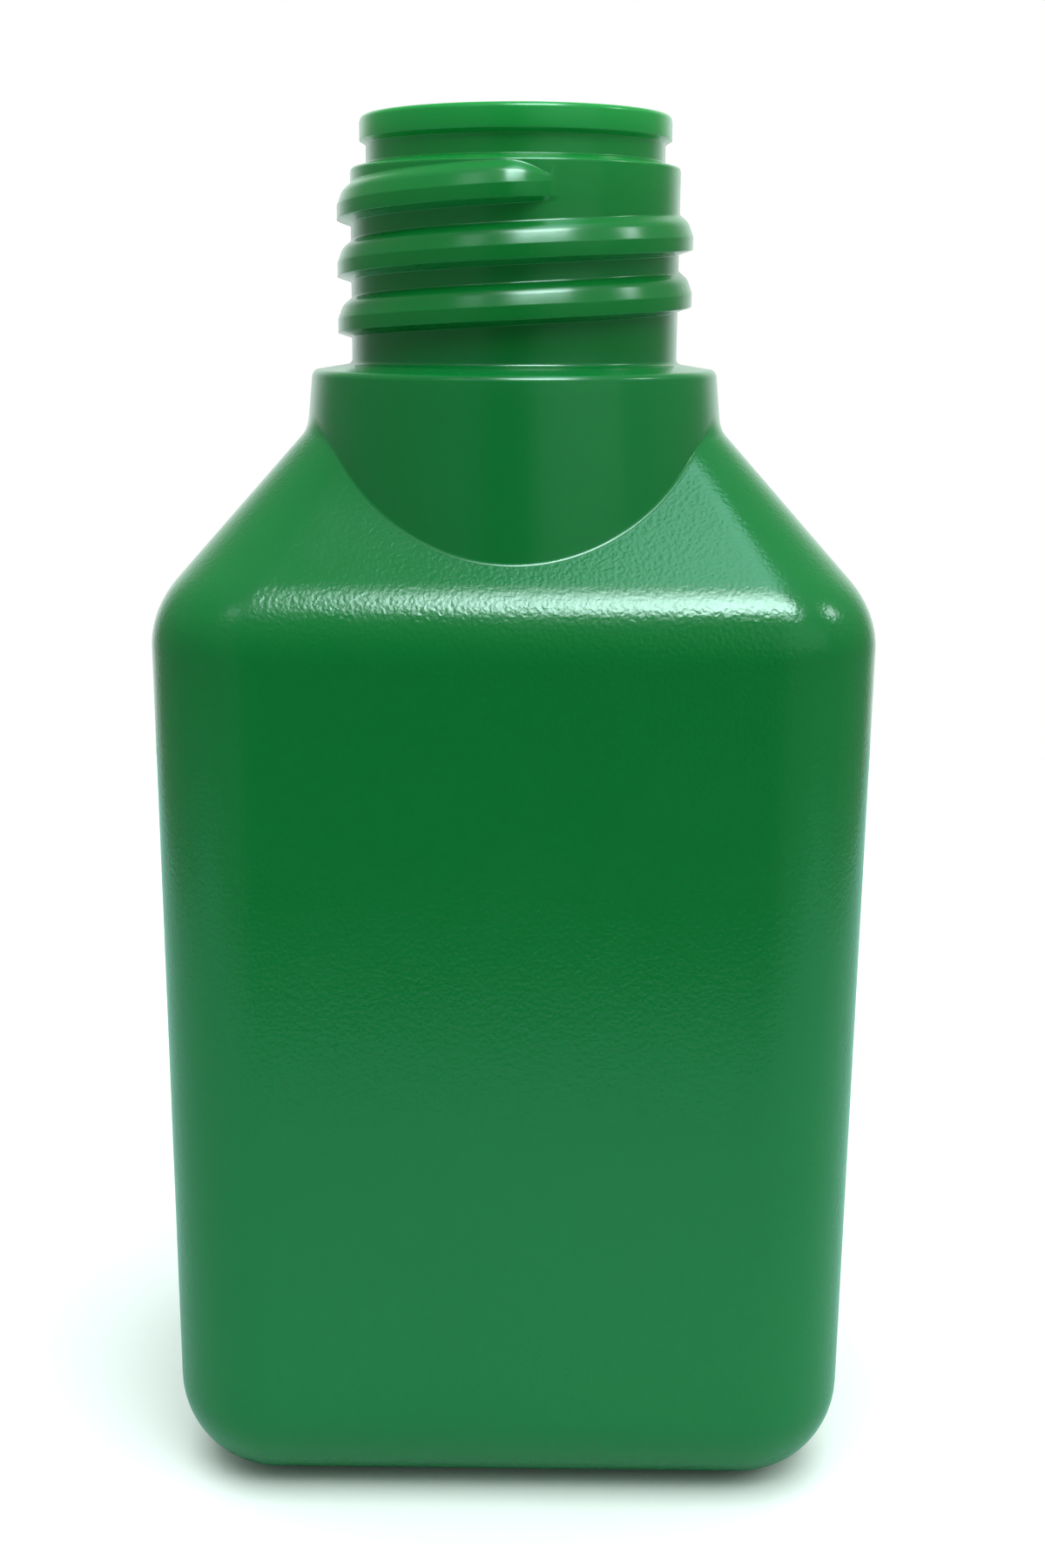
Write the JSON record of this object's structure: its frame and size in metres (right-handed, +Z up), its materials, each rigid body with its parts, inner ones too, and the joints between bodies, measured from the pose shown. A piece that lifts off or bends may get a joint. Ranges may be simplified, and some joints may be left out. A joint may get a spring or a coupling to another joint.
{
  "type": "oil bottle",
  "caption": "Small rectangular plastic bottle for oil, with sloping shoulders, a round collar and an open screw neck.",
  "frame": {"origin": "centre of the base, on the surface the bottle stands on", "axes": "+Z up along the neck, X across the wide faces, -Y is the front"},
  "size_m": [0.054, 0.041, 0.1063],
  "materials": {
    "grained_plastic": "fine moulded grain, satin on the collar",
    "polished_plastic": "smooth, softly glossy"
  },
  "bodies": {
    "root": {"body_shell": "grained_plastic", "neck_finish": "polished_plastic"}
  },
  "joints": []
}
